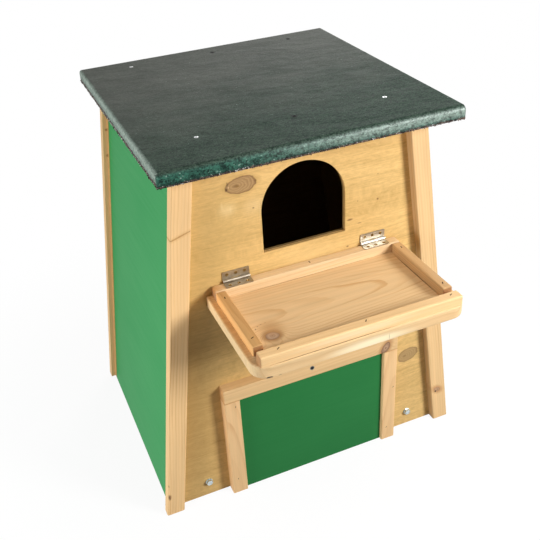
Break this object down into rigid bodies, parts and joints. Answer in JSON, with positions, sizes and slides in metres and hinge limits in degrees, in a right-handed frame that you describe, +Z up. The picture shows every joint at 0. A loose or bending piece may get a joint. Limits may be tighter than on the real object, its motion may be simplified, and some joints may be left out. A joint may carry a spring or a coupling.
{
  "type": "owl nest box",
  "caption": "Wooden owl nest box with leaning sides, a felted flat roof, an arched entrance, a clean-out hatch at its foot and a landing tray that folds up on butt hinges.",
  "frame": {"origin": "ground level, under the middle of the overall box that holds the nest box and its level tray", "axes": "+Z up, -Y out of the front, where the entrance and the tray are, +X to the right of a viewer at the front"},
  "size_m": [0.52, 0.559, 0.6025],
  "materials": {
    "plywood": "clear sealed, satin",
    "pine": "planed, satin",
    "green_paint": "satin green paint",
    "roofing_felt": "mineral surfaced, matt",
    "zinc_steel": "zinc plated"
  },
  "bodies": {
    "box": {"front_panel": "plywood", "back_panel": "plywood", "floor_board": "plywood", "side_wall_left": "green_paint", "side_wall_right": "green_paint", "front_post_left": "pine", "front_post_right": "pine", "back_post_left": "pine", "back_post_right": "pine", "roof_board": "plywood", "roof_felt": "roofing_felt", "hatch_panel": "green_paint", "hatch_top_rail": "pine", "hatch_stile_left": "pine", "hatch_stile_right": "pine", "hinge_plate_left": "zinc_steel", "hinge_plate_right": "zinc_steel", "hinge_pin_left": "zinc_steel", "hinge_pin_right": "zinc_steel", "front_bolt_left": "zinc_steel", "front_bolt_right": "zinc_steel"},
    "tray": {"tray_board": "pine", "tray_batten_back": "pine", "tray_batten_front": "pine", "tray_batten_left": "pine", "tray_batten_right": "pine", "tray_hinge_leaf_left": "zinc_steel", "tray_hinge_leaf_right": "zinc_steel"}
  },
  "joints": [
    {"name": "tray_hinge", "type": "hinge", "parent": "box", "child": "tray", "pos_m": [0, -0.1042, 0.3967], "axis": [-1, 0, 0], "range_deg": [0, 90]}
  ]
}
